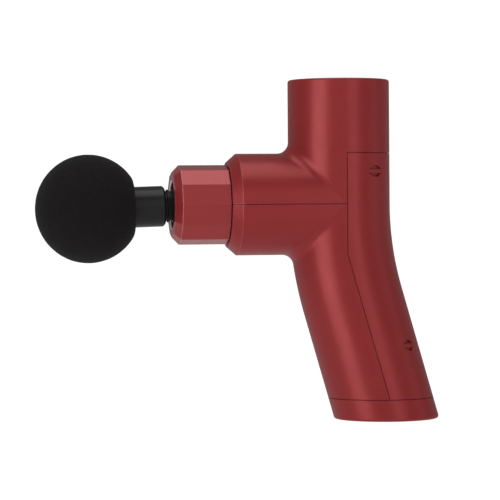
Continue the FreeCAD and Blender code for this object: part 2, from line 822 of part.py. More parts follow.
def piston():
    """Hollow piston: a socket for the head at its front, a web with a screw, and an open rear."""
    floor = "(piston_mouth - piston_socket_depth)"
    outline = [
        (SCREW_WAY, f"{floor} - piston_web"),
        ("piston_bore_radius", f"{floor} - piston_web"),
        ("piston_bore_radius", "piston_rear"),
        ("piston_radius", "piston_rear"),
        ("piston_radius", "piston_mouth - 0.6"),
        ("piston_radius - 0.6", "piston_mouth"),
        ("piston_socket_radius", "piston_mouth"),
        ("piston_socket_radius", floor),
        (SCREW_WAY, floor),
    ]
    piece("piston", turned("piston", outline, TUBE_X, "0", "barrel_height", FORWARD))


def slotted_yoke():
    """Yoke block with a cross slot for the crank bearing and a tenon that fills the piston's bore."""
    half_length, half_width = "yoke_half_length", "yoke_half_width"
    block = brick("yoke_block", f"2 * {half_length}", f"2 * {half_width}", "yoke_height",
                  ahead(half_length), f"-{half_width}", YOKE_BOTTOM)
    neck = brick("yoke_neck", "piston_rear - yoke_half_length + 1", "2 * yoke_neck_half_width", "yoke_height",
                 ahead("piston_rear"), "-yoke_neck_half_width", YOKE_BOTTOM)
    tenon_length = "(piston_mouth - piston_socket_depth - piston_web - piston_rear - 0.2)"
    tenon = rod("yoke_tenon", "piston_bore_radius - 0.02", f"{tenon_length} + 0.5",
                ahead("piston_rear - 0.5"), "0", "barrel_height", FORWARD)
    slot = brick("yoke_slot", "slot_width", "slot_length", "2 * yoke_height", ahead("slot_width / 2"),
                 "-slot_length / 2", "barrel_height - yoke_height")
    pilot = rod("yoke_pilot", SCREW_WAY, "12", ahead(f"piston_rear + {tenon_length} + 1"),
                "0", "barrel_height", BACKWARD)
    piece("slotted_yoke", less("slotted_yoke", joined("yoke_solid", block, neck, tenon), slot, pilot))
    seat = "piston_mouth - piston_socket_depth"
    piece("piston_screw", screw("piston_screw", "shell_head_radius + 1", "shell_head_length",
                                "shell_shank_radius", "piston_web + 9", ahead(seat), "0", "barrel_height",
                                FORWARD))


def crank():
    """Eccentric disc on the motor shaft, its pin, two pin bearings and a grub screw."""
    body = new_body("crank_disc")
    sketch = new_sketch(body, "crank_outline", "XY_Plane")
    draw_circle(sketch, "crank_radius")
    draw_circle(sketch, "pin_radius", "0", PIN_Y)
    for sign in ("-", ""):
        draw_circle(sketch, "crank_hole_radius", f"({sign}crank_hole_x)", "(-crank_hole_y)")
    padded(body, sketch, "crank_thickness")
    place(body, TUBE_X, "0", "crank_bottom")
    hub = rod("crank_hub", "hub_radius", "hub_top - crank_bottom", TUBE_X, "0", "crank_bottom")
    pin_way = rod("crank_pin_way", "pin_radius", "crank_thickness", TUBE_X, PIN_Y, "crank_bottom")
    shaft_way = rod("crank_shaft_way", "shaft_radius", "ample", TUBE_X, "0", "shaft_bottom")
    grub_height = "hub_top - grub_radius - 0.4"
    grub_way = rod("crank_grub_way", "grub_radius", "ample", TUBE_X, "0", grub_height, SIDEWAYS)
    solid = joined("crank_solid", body, hub)
    piece("eccentric_crank", less("crank_cut", solid, pin_way, shaft_way, grub_way))
    pin_top = "crank_bottom + crank_thickness"
    piece("crank_pin", rod("crank_pin", "pin_radius", f"{pin_top} - pin_bottom", TUBE_X, PIN_Y, "pin_bottom"))
    bearings = [
        bearing(f"pin_bearing{index}", "pin_bearing_radius", "pin_radius", "yoke_height / 2 - 0.1", TUBE_X,
                PIN_Y, f"{YOKE_BOTTOM} + {index} * yoke_height / 2 + 0.05")
        for index in range(2)
    ]
    piece("crank_bearings", group("crank_bearings", *bearings))
    piece("grub_screw", rod("grub_screw", "grub_radius", "2.6", TUBE_X, "shaft_radius + 0.1", grub_height,
                            SIDEWAYS))


def bearing(name, outer, inner, length, x, y, z):
    """A shielded ball bearing: two races with a shallow shield between them."""
    race = f"({outer} - {inner}) * 0.28"
    shield = f"({length}) * 0.1"
    outline = [
        (inner, "0"),
        (f"{inner} + {race}", "0"),
        (f"{inner} + {race}", shield),
        (f"{outer} - {race}", shield),
        (f"{outer} - {race}", "0"),
        (outer, "0"),
        (outer, length),
        (f"{outer} - {race}", length),
        (f"{outer} - {race}", f"{length} - {shield}"),
        (f"{inner} + {race}", f"{length} - {shield}"),
        (f"{inner} + {race}", length),
        (inner, length),
    ]
    return turned(name, outline, x, y, z)


def motor():
    """Outrunner motor with its shaft down: base and post, bearings, stator, coils, can, magnets."""
    bottom, top = "motor_base_bottom", MOTOR_BASE_TOP
    seat = "motor_bearing_length"
    outline = [
        ("shaft_radius + 0.6", f"{bottom} + {seat}"),
        ("motor_bearing_radius", f"{bottom} + {seat}"),
        ("motor_bearing_radius", bottom),
        ("motor_base_radius", bottom),
        ("motor_base_radius", top),
        ("motor_post_radius", top),
        ("motor_post_radius", "motor_post_top"),
        ("motor_bearing_radius", "motor_post_top"),
        ("motor_bearing_radius", f"motor_post_top - {seat}"),
        ("shaft_radius + 0.6", f"motor_post_top - {seat}"),
    ]
    holes = [
        rod(f"motor_thread{index}", SCREW_WAY, "motor_base_thickness + 1",
            *round_about("motor_screw_circle", f"{45 + 90 * index}"), bottom)
        for index in range(4)
    ]
    piece("motor_base", less("motor_base", turned("motor_base_solid", outline, TUBE_X), *holes))
    bearings = [
        bearing(f"motor_bearing{index}", "motor_bearing_radius", "shaft_radius + 0.03", seat, TUBE_X, "0",
                height)
        for index, height in enumerate((bottom, f"motor_post_top - {seat}"))
    ]
    piece("motor_bearings", group("motor_bearings", *bearings))
    stator()
    rotor()


def stator():
    """Laminated core with slots between its teeth, and one coil round each tooth."""
    body = new_body("stator_core")
    disc = new_sketch(body, "stator_disc", "XY_Plane")
    draw_circle(disc, "stator_radius")
    draw_circle(disc, "motor_post_radius")
    core = padded(body, disc, "stator_length")
    slot = new_sketch(body, "stator_slot", "XY_Plane", lift="stator_length")
    half_pitch = "(180 / tooth_count)"

    def side(radius):
        beyond = f"({radius} - tooth_half * sin({half_pitch}))"
        return f"({beyond} * tan({half_pitch}) - tooth_half * cos({half_pitch}))"

    inner, neck, mouth = "stator_core_radius", "stator_neck_radius", "(stator_radius + 1)"
    upper = [(inner, side(inner)), (neck, side(neck)), (neck, "slot_mouth_half"), (mouth, "slot_mouth_half")]
    lower = [(right, f"-({up})") for right, up in reversed(upper)]
    draw_outline(slot, upper + lower)
    pocket = body.newObject("PartDesign::Pocket", "stator_slot_cut")
    pocket.Profile = slot
    pocket.Type = 1
    doc.recompute()
    pattern = body.newObject("PartDesign::PolarPattern", "stator_slots")
    pattern.Originals = [pocket]
    pattern.Axis = (disc, ["N_Axis"])
    pattern.Angle = 360
    bind(pattern, Occurrences="tooth_count")
    body.Tip = pattern
    doc.recompute()
    if pattern.Shape.Volume >= pocket.Shape.Volume or pocket.Shape.Volume >= core.Shape.Volume:
        raise ValueError("the stator's slots cut nothing")
    piece("stator_core", place(body, TUBE_X, "0", "stator_bottom"))
    piece("stator_coils", group("stator_coils", *[coil(index) for index in range(int(value("tooth_count")))]))


def coil(index):
    """A rectangular coil round one tooth, turned to the tooth's direction about the motor's axis."""
    # the tooth lies half a slot pitch round from the slot
    angle = f"((({index}) + 0.5) * 360 / tooth_count)"
    start, end = "(stator_core_radius + 0.2)", "(stator_neck_radius - 0.45)"
    height = "(stator_length + 2 * coil_overhang)"
    outline = [
        (start, "-(tooth_half + 0.95)"),
        (end, "-(tooth_half + 1)"),
        (end, "tooth_half + 1"),
        (start, "tooth_half + 0.95"),
    ]
    block = plate(f"coil_block{index}", outline, height)
    tooth = brick(f"coil_tooth{index}", "ample", "2 * tooth_half + 0.1", "stator_length + 0.1", "0",
                  "-tooth_half - 0.05", "coil_overhang - 0.05")
    wound = less(f"coil{index}", block, tooth)
    return place(wound, TUBE_X, "0", "stator_bottom - coil_overhang", (Vector(0, 0, 1), angle))


def rotor():
    """Rotor can with cooling windows, arc magnets inside it, and the shaft it is pressed on."""
    outline = [
        ("can_radius - can_skin", "can_bottom"),
        ("can_radius", "can_bottom"),
        ("can_radius", "can_top - 1"),
        ("can_radius - 1", "can_top"),
        ("hub_radius", "can_top"),
        ("hub_radius", "can_top + 3"),
        ("shaft_radius", "can_top + 3"),
        ("shaft_radius", "can_top - 1.6"),
        ("can_radius - can_skin", "can_top - 1.6"),
    ]
    can = turned("rotor_can_solid", outline, TUBE_X)
    windows = [
        rod(f"can_window{index}", "can_window_radius", "ample",
            *round_about("can_radius * 0.6", f"(360 * {index} / can_window_count)"), "can_top - 3")
        for index in range(int(value("can_window_count")))
    ]
    piece("rotor_can", less("rotor_can", can, *windows))
    magnets = []
    for index in range(int(value("magnet_count"))):
        outer = rod(f"magnet_outer{index}", "magnet_outer", "stator_length")
        inner = rod(f"magnet_inner{index}", "magnet_inner", "stator_length")
        for slice_of_ring in (outer, inner):
            bind(slice_of_ring, Angle="magnet_angle")
        turn = (Vector(0, 0, 1), f"({index} + 0.25) * 360 / magnet_count")
        magnets.append(place(less(f"magnet{index}", outer, inner), TUBE_X, "0", "stator_bottom", turn))
    piece("rotor_magnets", group("rotor_magnets", *magnets))
    piece("motor_shaft", rod("motor_shaft", "shaft_radius", "shaft_top - shaft_bottom", TUBE_X, "0",
                             "shaft_bottom"))


def drive_frame():
    """Cast frame: a deck under the motor, a web and two arms, and the carrier of the guide bush."""
    deck = rod("deck", "deck_radius", "motor_base_bottom - deck_bottom", TUBE_X, "0", "deck_bottom")
    bridge = brick("bridge", "bridge_length", "bridge_width", "motor_base_bottom - deck_bottom",
                   ahead("bush_rear + carrier_web"), "-bridge_width / 2", "deck_bottom")
    web = brick("web", "carrier_web", "web_width", "web_height", ahead("bush_rear + carrier_web"),
                "-web_width / 2", "motor_base_bottom - web_height")
    carrier = rod("carrier", "bush_carrier_radius", "bush_front - bush_rear", ahead("bush_rear"), "0",
                  "barrel_height", FORWARD)
    arms = [
        brick(f"arm_{side}", "bush_rear + 4", "arm_thickness", "deck_bottom - arm_bottom + 1",
              ahead("bush_rear + 1"), y, "arm_bottom")
        for side, y in (("near", "-arm_inner - arm_thickness"), ("far", "arm_inner"))
    ]
    cuts = [
        rod("deck_hole", "deck_hole_radius", "ample", TUBE_X, "0", "deck_bottom - 1"),
        rod("carrier_bore", "bush_radius", "ample", ahead("bush_rear - 10"), "0", "barrel_height", FORWARD),
        brick("wire_notch", "deck_radius", "notch_width", "ample", f"{TUBE_X} + notch_start",
              "-notch_width / 2", "deck_bottom - 1"),
    ]
    for name, seam, y, height in shell_screw_places():
        if name.startswith("high"):
            cuts.append(rod(f"deck_relief_{name}", "shell_post_radius + 0.8", "ample",
                            f"{seam} - ample / 2", y, height, BACKWARD))
    for index in range(4):
        hole = round_about("motor_screw_circle", f"{45 + 90 * index}")
        cuts.append(rod(f"deck_screw_hole{index}", SCREW_WAY, "ample", *hole,
                        "deck_bottom - 1"))
        cuts.append(rod(f"deck_screw_well{index}", "shell_head_radius + 0.2", "3.4", *hole,
                        "deck_bottom - 1"))
    frame = joined("drive_frame_solid", deck, bridge, web, carrier, *arms)
    piece("drive_frame", less("drive_frame", frame, *cuts))
    screws = [
        screw(f"motor_screw{index}", "shell_head_radius", "shell_head_length", "shell_shank_radius", "6.4",
              *round_about("motor_screw_circle", f"{45 + 90 * index}"), "deck_bottom + 2.4", DOWNWARD)
        for index in range(4)
    ]
    piece("motor_screws", group("motor_screws", *screws))
    piece("guide_bush", ring("guide_bush", "bush_radius", "piston_radius + running_gap",
                             "bush_front - bush_rear", ahead("bush_rear"), "0", "barrel_height", FORWARD))
    piece("frame_damper", ring("frame_damper", "damper_radius", "bush_carrier_radius", "damper_length",
                               ahead("damper_front - damper_length"), "0", "barrel_height", FORWARD))


# ---------------------------------------------------------------- controls on top


def controls():
    """Round panel with a button and five speed lights, over a control board with a switch."""
    panel = turned("panel_disc", [
        ("button_radius + 0.25", PANEL_BOTTOM),
        ("panel_radius", PANEL_BOTTOM),
        ("panel_radius", f"{PANEL_TOP} - 0.4"),
        ("panel_radius - 0.4", PANEL_TOP),
        ("button_radius + 0.65", PANEL_TOP),
        ("button_radius + 0.25", f"{PANEL_TOP} - 0.4"),
    ], TUBE_X)
    posts, pilots, board_holes, screws = [], [], [], []
    for index in range(3):
        post = round_about("post_circle", f"{120 * index}")
        posts.append(rod(f"panel_post{index}", "post_radius", f"{PANEL_BOTTOM} - {BOARD_TOP} + 0.5", *post,
                         BOARD_TOP))
        pilots.append(rod(f"panel_pilot{index}", "board_screw_radius + screw_play", "5", *post, BOARD_TOP))
        board_holes.append(rod(f"board_hole{index}", "board_screw_radius + screw_play", "ample", *post,
                               "board_bottom - 10"))
        screws.append(screw(f"board_screw{index}", "board_head_radius", "board_head_length",
                            "board_screw_radius", "board_thickness + 4", *post, "board_bottom", DOWNWARD))
    lights = [
        (f"light{index}", *round_about("light_circle", f"{180 + 24 * (index - 2)}")) for index in range(5)
    ]
    light_ways = [rod(f"{name}_way", "light_radius + 0.08", "ample", x, y, PANEL_BOTTOM + " - 1")
                  for name, x, y in lights]
    solid = joined("panel_solid", panel, *posts)
    piece("control_panel", less("control_panel", solid, *light_ways, *pilots))
    pipes = [
        rod(name, "light_radius", f"{PANEL_TOP} + 0.1 - ({BOARD_TOP} + 1)", x, y, f"{BOARD_TOP} + 1")
        for name, x, y in lights
    ]
    piece("speed_lights", group("speed_lights", *pipes))
    chips = [
        brick(f"{name}_chip", "2", "2", "0.8", f"{x} - 1", f"{y} - 1", BOARD_TOP) for name, x, y in lights
    ]
    piece("light_chips", group("light_chips", *chips))
    board = rod("control_board_disc", "board_radius", "board_thickness", TUBE_X, "0", "board_bottom")
    piece("control_board", less("control_board", board, *board_holes))
    piece("board_screws", group("board_screws", *screws))
    power_button()


def power_button():
    """Button with a hidden flange, and the small push switch under it."""
    flange_bottom = f"({PANEL_BOTTOM} - 1.2)"
    outline = [
        ("0", flange_bottom),
        ("button_radius + 1.2", flange_bottom),
        ("button_radius + 1.2", f"{PANEL_BOTTOM} - 0.1"),
        ("button_radius", f"{PANEL_BOTTOM} - 0.1"),
        ("button_radius", f"{PANEL_TOP} + button_proud - 0.5"),
        ("button_radius - 0.5", f"{PANEL_TOP} + button_proud"),
        ("0", f"{PANEL_TOP} + button_proud - 0.3"),
    ]
    piece("power_button", turned("power_button", outline, TUBE_X))
    case = brick("push_case", "push_side", "push_side", "push_height", f"{TUBE_X} - push_side / 2",
                 "-push_side / 2", BOARD_TOP)
    stud_top = f"({flange_bottom} - button_travel - 0.2)"
    stud = rod("push_stud", "push_stud_radius", f"{stud_top} - {BOARD_TOP}", TUBE_X, "0", BOARD_TOP)
    piece("push_switch", joined("push_switch", case, stud))


# ---------------------------------------------------------------- battery, boards and base


def battery():
    """Two cells side by side in the handle between end holders, with links and foam pads."""
    cells, holders, pads = [], [], []
    for side in ("-", ""):
        x, z = in_handle(f"{side}cell_centre", "cell_start")
        outline = [
            ("0", "0.05"),
            ("cell_radius - 0.4", "0.05"),
            ("cell_radius", "0.45"),
            ("cell_radius", "cell_length - 1.2"),
            ("cell_radius - 0.5", "cell_length - 0.7"),
            ("3", "cell_length - 0.7"),
            ("3", "cell_length - 0.05"),
            ("0", "cell_length - 0.05"),
        ]
        cells.append(turned("cell_" + ("front" if side else "rear"), outline, x, "0", z, ALONG_HANDLE))
    piece("battery_cells", group("battery_cells", *cells))
    grip = "holder_grip"
    for name, start, pocket in (
        ("low", f"cell_start + {grip} - holder_length", "cell_start"),
        ("high", f"cell_start + cell_length - {grip}", f"cell_start + cell_length - {grip} - 1"),
    ):
        x, z = in_handle("-cell_centre", start)
        bar = brick(f"holder_bar_{name}", "2 * cell_centre", "2 * holder_radius", "holder_length", x,
                    "-holder_radius", z, ALONG_HANDLE)
        ends, pockets = [], []
        for side in ("-", ""):
            tag = f"{name}_{'front' if side else 'rear'}"
            x, z = in_handle(f"{side}cell_centre", start)
            ends.append(rod(f"holder_end_{tag}", "holder_radius", "holder_length", x, "0", z, ALONG_HANDLE))
            x, z = in_handle(f"{side}cell_centre", pocket)
            pockets.append(rod(f"holder_pocket_{tag}", "cell_radius + 0.05", f"{grip} + 1", x, "0", z,
                               ALONG_HANDLE))
        holders.append(less(f"holder_{name}", joined(f"holder_solid_{name}", bar, *ends), *pockets))
    piece("battery_holders", group("battery_holders", *holders))
    for index, start in enumerate(("26", "62")):
        x, z = in_handle("-pad_length / 2", start)
        pads.append(brick(f"pad{index}", "pad_length", "pad_thickness", "pad_height", x,
                          "-cell_radius - pad_thickness - 0.3", z, ALONG_HANDLE))
    piece("battery_pads", group("battery_pads", *pads))


def main_board():
    """Motor driver board beside the cells, with its parts on the outer face."""
    x, z = in_handle("-pcb_half_width", "pcb_start")
    piece("main_board", brick("main_board", "2 * pcb_half_width", "board_thickness", "pcb_length", x, "pcb_y",
                              z, ALONG_HANDLE))
    parts = []
    face = "pcb_y + board_thickness"
    for row in range(3):
        for column in range(2):
            x, z = in_handle(f"-7 + 7.5 * {column}", f"pcb_start + 3 + 6 * {row}")
            parts.append(brick(f"transistor{row}{column}", "transistor_side", "1", "transistor_height", x,
                               face, z, ALONG_HANDLE))
    x, z = in_handle("-3", "pcb_start + 24")
    parts.append(brick("board_chip", "5", "0.9", "5", x, face, z, ALONG_HANDLE))
    x, z = in_handle("5.2", "pcb_start + 22")
    parts.append(rod("capacitor", "2.4", "5.6", x, f"{face} + 2.5", z, ALONG_HANDLE))
    piece("board_parts", group("board_parts", *parts))
    for name, across, along in (
        ("motor_plug", "-8.4", "pcb_start + pcb_length - plug_height - 0.8"),
        ("battery_plug", "2.6", "pcb_start + 0.2"),
    ):
        x, z = in_handle(across, along)
        piece(name, brick(name, "plug_length", "3", "plug_height", x, face, z, ALONG_HANDLE))


def base_parts():
    """Charging socket with its centre pin, and the slide switch with its knob."""
    socket_top = "jack_length"
    outline = [
        ("jack_bore_radius", "0.4"),
        ("jack_radius", "0.4"),
        ("jack_radius", "wall + 0.05"),
        ("jack_radius + 1", "wall + 0.05"),
        ("jack_radius + 1", socket_top),
        ("0", socket_top),
        ("0", f"{socket_top} - 1.6"),
        ("jack_bore_radius", f"{socket_top} - 1.6"),
    ]
    socket = turned("charge_socket_solid", outline, "jack_x")
    pin_way = rod("contact_pin_way", "jack_pin_radius * 0.6", "ample", "jack_x", "0", f"{socket_top} - 2")
    piece("charge_socket", less("charge_socket", socket, pin_way))
    pin = turned("contact_pin", [
        ("0", "2"),
        ("jack_pin_radius - 0.3", "2"),
        ("jack_pin_radius", "2.4"),
        ("jack_pin_radius", f"{socket_top} - 1.6"),
        ("jack_pin_radius * 0.6", f"{socket_top} - 1.6"),
        ("jack_pin_radius * 0.6", f"{socket_top} + 1.2"),
        ("0", f"{socket_top} + 1.2"),
    ], "jack_x")
    piece("contact_pin", pin)
    body_bottom = "(wall + 0.9)"
    piece("slide_switch", brick("slide_switch", "switch_width", "switch_length", "switch_body",
                                "-switch_x - switch_width / 2", "-switch_length / 2", body_bottom))
    start = "(-(knob_length + knob_travel) / 2)"
    knob = brick("knob_block", "knob_width", "knob_length", f"{body_bottom} - 0.7",
                 "-switch_x - knob_width / 2", start, "0.6")
    grooves = [
        brick(f"knob_groove{index}", "knob_width", "0.5", "0.4", "-switch_x - knob_width / 2",
              f"{start} + 1 + 1.25 * {index}", "0.5")
        for index in range(3)
    ]
    piece("switch_knob", less("switch_knob", knob, *grooves))


def rounded_wire(name, corners, radius, bend):
    """A round wire through corners, its bends tangent arcs."""
    edges, start = [], corners[0]
    for before, corner, after in zip(corners, corners[1:], corners[2:]):
        back, onward = (before - corner).normalize(), (after - corner).normalize()
        half = back.getAngle(onward) / 2
        reach = bend / math.tan(half)
        first, last = corner + back * reach, corner + onward * reach
        centre = corner + (back + onward).normalize() * (bend / math.sin(half))
        middle = centre + (corner - centre).normalize() * bend
        edges += [Part.LineSegment(start, first).toShape(), Part.Arc(first, middle, last).toShape()]
        start = last
    edges.append(Part.LineSegment(start, corners[-1]).toShape())
    path = Part.Wire(edges)
    section = Part.Wire(Part.makeCircle(radius, corners[0], corners[1] - corners[0]))
    feature = doc.addObject("Part::Feature", name)
    feature.Shape = path.makePipeShell([section], True, False)
    return feature


def point(x, y, z):
    return Vector(value(x), value(y), value(z))


def leads():
    """Wires held inside the shells: three to the motor, two to the battery and two to the button board."""
    radius, bend = value("wire_radius"), 3 * value("wire_radius")
    plug_y = "pcb_y + board_thickness + 1.5"
    wires = []
    for index in range(3):
        across = f"-7.6 + 1.9 * {index}"
        end_x, end_z = in_handle(across, "pcb_start + pcb_length - 0.8")
        up_x, up_z = in_handle(across, "pcb_start + pcb_length + 5")
        y = f"-1.9 + 1.9 * {index}"
        wires.append(rounded_wire(f"motor_lead{index}", [
            point(f"{TUBE_X} + motor_base_radius", y, f"{MOTOR_BASE_TOP} - 1.2"),
            point(f"{TUBE_X} + 18.6", y, f"{MOTOR_BASE_TOP} - 1.2"),
            point(f"{TUBE_X} + 18.6", y, "98"),
            point(up_x, plug_y, up_z),
            point(end_x, plug_y, end_z),
        ], radius, bend))
    piece("motor_leads", group("motor_leads", *wires))
    wires = []
    beside, foot = "holder_radius + 2.3", "cell_start + holder_grip - 1.4"
    for index in range(2):
        across = f"4 + 2 * {index}"
        route = [
            (plug_y, "pcb_start + 0.2"),
            (plug_y, "pcb_start - 2.4"),
            (beside, "pcb_start - 5.2"),
            (beside, foot),
            ("holder_radius", foot),
        ]
        corners = []
        for y, along in route:
            x, z = in_handle(across, along)
            corners.append(point(x, y, z))
        wires.append(rounded_wire(f"battery_lead{index}", corners, radius, bend / 2))
    piece("battery_leads", group("battery_leads", *wires))


# ---------------------------------------------------------------- build, check and write


def check():
    """Stop if a feature failed or a sub-part has no valid solid."""
    for thing in doc.Objects:
        if {"Invalid", "Error"} & set(thing.State):
            raise ValueError(f"{thing.Label} failed: {thing.State}")
    for thing in pieces:
        shape = thing.Shape
        if shape.isNull() or not shape.isValid() or not shape.Solids:
            raise ValueError(f"{thing.Label} has no valid solid")


def write():
    os.makedirs("parts", exist_ok=True)
    for thing in pieces:
        thing.Shape.exportStep(f"parts/{thing.Label}.step")
        print(f"{thing.Label}: {len(thing.Shape.Solids)} solids, {thing.Shape.Volume:.0f} mm3")


shells()
nose_collar()
massage_head()
piston()
slotted_yoke()
crank()
motor()
drive_frame()
controls()
battery()
main_board()
base_parts()
leads()
doc.recompute()
check()
write()
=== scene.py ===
"""Looks of the massage gun: materials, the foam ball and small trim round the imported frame, in metres."""

import json
import math

import bmesh
import bpy
from mathutils import Matrix, Vector, noise


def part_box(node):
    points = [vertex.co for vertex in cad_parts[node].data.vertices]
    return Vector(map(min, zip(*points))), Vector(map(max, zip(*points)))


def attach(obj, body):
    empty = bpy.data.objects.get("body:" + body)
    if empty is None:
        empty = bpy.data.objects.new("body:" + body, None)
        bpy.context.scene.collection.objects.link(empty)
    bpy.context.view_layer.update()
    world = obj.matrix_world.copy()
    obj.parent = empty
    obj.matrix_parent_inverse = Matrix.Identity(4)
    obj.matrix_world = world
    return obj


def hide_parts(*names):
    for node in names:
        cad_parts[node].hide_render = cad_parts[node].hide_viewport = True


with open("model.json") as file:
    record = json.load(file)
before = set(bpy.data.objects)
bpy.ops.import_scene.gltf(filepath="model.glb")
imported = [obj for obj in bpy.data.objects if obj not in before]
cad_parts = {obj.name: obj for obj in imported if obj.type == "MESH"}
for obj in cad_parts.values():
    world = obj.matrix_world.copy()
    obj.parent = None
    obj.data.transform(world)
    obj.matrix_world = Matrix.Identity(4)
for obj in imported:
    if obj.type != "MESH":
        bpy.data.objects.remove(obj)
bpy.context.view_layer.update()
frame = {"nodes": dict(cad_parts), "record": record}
nodes = frame["nodes"]

# Places read from the frame
BALL_LOW, BALL_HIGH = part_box("massage_ball")
BARREL_Z = (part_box("guide_bush")[0].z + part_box("guide_bush")[1].z) / 2
NOSE_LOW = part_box("nose_collar")[0]
BARREL_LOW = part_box("front_housing")[0]
BUTTON_LOW, BUTTON_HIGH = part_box("power_button")
TUBE_X = (BUTTON_LOW.x + BUTTON_HIGH.x) / 2

# Driving sizes, in metres
MM = 0.001
RIM_RADIUS = 12.3 * MM
RIM_DEPTH = 0.7 * MM
CONE_LENGTH = 5.5 * MM
BALL_FLATTENING = 0.978
BALL_FLAT = 22.2 * MM
SOFT_EDGE = 0.35 * MM
HEAD_DROOP = math.radians(1.7)
DISH_DEPTH = 0.3 * MM
FLOOR_GAP = 0.2 * MM
EDGE_ROUNDING = 0.45 * MM
LIGHT_DISTANCE = 1.3
LIGHT_TARGET = Vector((TUBE_X, 0, 90 * MM))

# The wave texture packs its bands this many times closer than its scale says
WAVE_DENSITY = 3.18


# ---------------------------------------------------------------- shader helpers


class Shader:
    """A Principled material and short calls for the nodes that drive it."""

    def __init__(self, name, **sockets):
        self.material = bpy.data.materials.new(name)
        self.material.use_nodes = True
        self.tree = self.material.node_tree
        self.bsdf = next(node for node in self.tree.nodes if node.type == "BSDF_PRINCIPLED")
        self.where = self.add("ShaderNodeTexCoord").outputs["Object"]
        for socket, value in sockets.items():
            self.bsdf.inputs[socket.replace("_", " ")].default_value = value

    def add(self, kind, **settings):
        node = self.tree.nodes.new(kind)
        for name, value in settings.items():
            setattr(node, name, value)
        return node

    def join(self, source, target):
        self.tree.links.new(source, target)

    def noise(self, size, detail=3.0, roughness=0.5, stretch=None):
        """Noise with features about size metres across."""
        texture = self.add("ShaderNodeTexNoise")
        texture.inputs["Scale"].default_value = 1 / size
        texture.inputs["Detail"].default_value = detail
        texture.inputs["Roughness"].default_value = roughness
        self.join(self.stretched(stretch), texture.inputs["Vector"])
        return texture.outputs["Fac"]

    def cells(self, size, feature="F1"):
        """Distances in cells about size metres across."""
        texture = self.add("ShaderNodeTexVoronoi", feature=feature)
        texture.inputs["Scale"].default_value = 1 / size
        self.join(self.where, texture.inputs["Vector"])
        return texture.outputs["Distance"]

    def bands(self, size, distortion=0.0):
        """Level bands, size metres apart."""
        texture = self.add("ShaderNodeTexWave", bands_direction="Z")
        texture.inputs["Scale"].default_value = 1 / (size * WAVE_DENSITY)
        texture.inputs["Distortion"].default_value = distortion
        self.join(self.where, texture.inputs["Vector"])
        return texture.outputs["Fac"]

    def stretched(self, stretch):
        if stretch is None:
            return self.where
        mapping = self.add("ShaderNodeMapping")
        mapping.inputs["Scale"].default_value = stretch
        self.join(self.where, mapping.inputs["Vector"])
        return mapping.outputs["Vector"]

    def ramp(self, value, low, high, start=0.0, end=1.0):
        """The value between start and end, as a number from low to high."""
        remap = self.add("ShaderNodeMapRange")
        for name, number in (("From Min", start), ("From Max", end), ("To Min", low), ("To Max", high)):
            remap.inputs[name].default_value = number
        self.join(value, remap.inputs["Value"])
        return remap.outputs["Result"]

    def mix(self, factor, first, second):
        """A colour between two, each a triple or a socket."""
        mixed = self.add("ShaderNodeMix", data_type="RGBA")
        colours = [socket for socket in mixed.inputs if socket.type == "RGBA"]
        self.join(factor, mixed.inputs["Factor"])
        for colour, socket in zip((first, second), colours):
            if isinstance(colour, tuple):
                socket.default_value = (*colour, 1)
            else:
                self.join(colour, socket)
        return next(socket for socket in mixed.outputs if socket.type == "RGBA")

    def maths(self, operation, first, second=None):
        """The result of a maths node on one or two values, each a number or a socket."""
        node = self.add("ShaderNodeMath", operation=operation)
        for value, socket in zip((first, second), node.inputs):
            if value is None:
                continue
            if isinstance(value, (int, float)):
                socket.default_value = value
            else:
                self.join(value, socket)
        return node.outputs[0]

    def colour(self, socket):
        self.join(socket, self.bsdf.inputs["Base Color"])

    def roughness(self, socket):
        self.join(socket, self.bsdf.inputs["Roughness"])

    def rounded(self, radius):
        """The surface's normal with its hard edges rounded over a radius."""
        bevel = self.add("ShaderNodeBevel", samples=6)
        bevel.inputs["Radius"].default_value = radius
        return bevel.outputs["Normal"]

    def edges(self, rounded):
        """1 along hard edges and 0 on flats, from the rounded normal's lean away from the true one."""
        product = self.add("ShaderNodeVectorMath", operation="DOT_PRODUCT")
        self.join(rounded, product.inputs[0])
        self.join(self.add("ShaderNodeNewGeometry").outputs["Normal"], product.inputs[1])
        return self.ramp(product.outputs["Value"], 0.0, 1.0, 0.997, 0.95)

    def bump(self, *layers, normal=None):
        """Stack bumps on a normal: each layer is a height from 0 to 1 and its depth in metres."""
        for height, depth in layers:
            bump = self.add("ShaderNodeBump")
            bump.inputs["Strength"].default_value = 1
            bump.inputs["Distance"].default_value = depth
            self.join(height, bump.inputs["Height"])
            if normal is not None:
                self.join(normal, bump.inputs["Normal"])
            normal = bump.outputs["Normal"]
        self.join(normal, self.bsdf.inputs["Normal"])

    def about_barrel(self):
        """Distance from the barrel's axis, and X, as sockets."""
        parts = self.add("ShaderNodeSeparateXYZ")
        self.join(self.where, parts.inputs["Vector"])
        height = self.maths("SUBTRACT", parts.outputs["Z"], BARREL_Z)
        square = self.maths("ADD", self.maths("POWER", height, 2), self.maths("POWER", parts.outputs["Y"], 2))
        return self.maths("SQRT", square), parts.outputs["X"]


# ---------------------------------------------------------------- materials


def lacquer(shader, cloud, dark, light, sparkle, edge_highlight, flake_size, highlight_mask=1.0):
    """Colour of a flaked lacquer: clouded, with fine flakes, and a paler painted highlight in patches along
    its hard edges, where the highlight mask lets it show.
    """
    flakes = shader.ramp(shader.cells(flake_size), 1.0, 0.0, 0.0, 0.75)
    shade = shader.mix(cloud, dark, light)
    shade = shader.mix(shader.maths("MULTIPLY", flakes, 0.2), shade, sparkle)
    rounded = shader.rounded(EDGE_ROUNDING)
    patchy = shader.ramp(shader.noise(2.5 * MM, 4, 0.6), 0.35, 0.9, 0.35, 0.65)
    # painted highlight: a paler colour laid in patches along the hard edges, standing in for the light they
    # catch
    painted_highlight = shader.maths("MULTIPLY", shader.maths("MULTIPLY", shader.edges(rounded), patchy), highlight_mask)
    return shader.mix(painted_highlight, shade, edge_highlight), rounded


